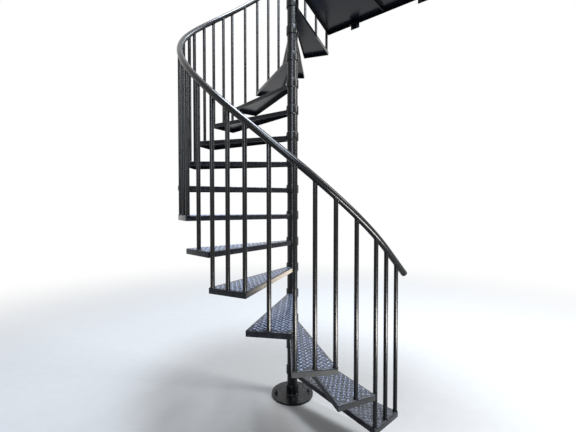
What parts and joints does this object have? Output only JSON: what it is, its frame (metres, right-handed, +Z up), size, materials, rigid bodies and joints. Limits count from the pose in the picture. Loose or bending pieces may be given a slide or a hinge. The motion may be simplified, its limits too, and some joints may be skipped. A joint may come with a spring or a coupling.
{
  "type": "spiral staircase",
  "caption": "Steel spiral staircase with pan treads on a centre pole, tube balusters, a helical handrail and a railed landing that bolts to a deck.",
  "frame": {"origin": "centre of the base plate's underside, at ground level on the pole's axis", "axes": "+Z up along the pole; +Y points from the pole to the deck that the landing is bolted to; the first nosing lies along +X"},
  "size_m": [1.6099, 1.5768, 4.001],
  "materials": {
    "pole_steel": "semi-gloss black paint on a rolled steel tube",
    "tread_steel": "semi-gloss black paint on diamond plate, worn where feet land",
    "tube_steel": "semi-gloss black paint on drawn tube",
    "landing_steel": "semi-gloss black paint on plate and angle"
  },
  "bodies": {
    "root": {"base_plate": "pole_steel", "centre_pole": "pole_steel", "pole_cap": "pole_steel", "tread_01": "tread_steel", "tread_02": "tread_steel", "tread_03": "tread_steel", "tread_04": "tread_steel", "tread_05": "tread_steel", "tread_06": "tread_steel", "tread_07": "tread_steel", "tread_08": "tread_steel", "tread_09": "tread_steel", "tread_10": "tread_steel", "tread_11": "tread_steel", "tread_12": "tread_steel", "tread_13": "tread_steel", "tread_14": "tread_steel", "tread_15": "tread_steel", "corner_balusters": "tube_steel", "tie_balusters": "tube_steel", "mid_balusters": "tube_steel", "handrail": "tube_steel", "handrail_caps": "tube_steel", "guard_balusters": "tube_steel", "guard_newel": "tube_steel", "guard_rail": "tube_steel", "guard_rail_cap": "tube_steel", "landing_frame": "landing_steel", "landing_stiffener": "landing_steel", "landing_plate_left": "landing_steel", "landing_plate_right": "landing_steel", "deck_bracket_left": "landing_steel", "deck_bracket_right": "landing_steel"}
  },
  "joints": []
}
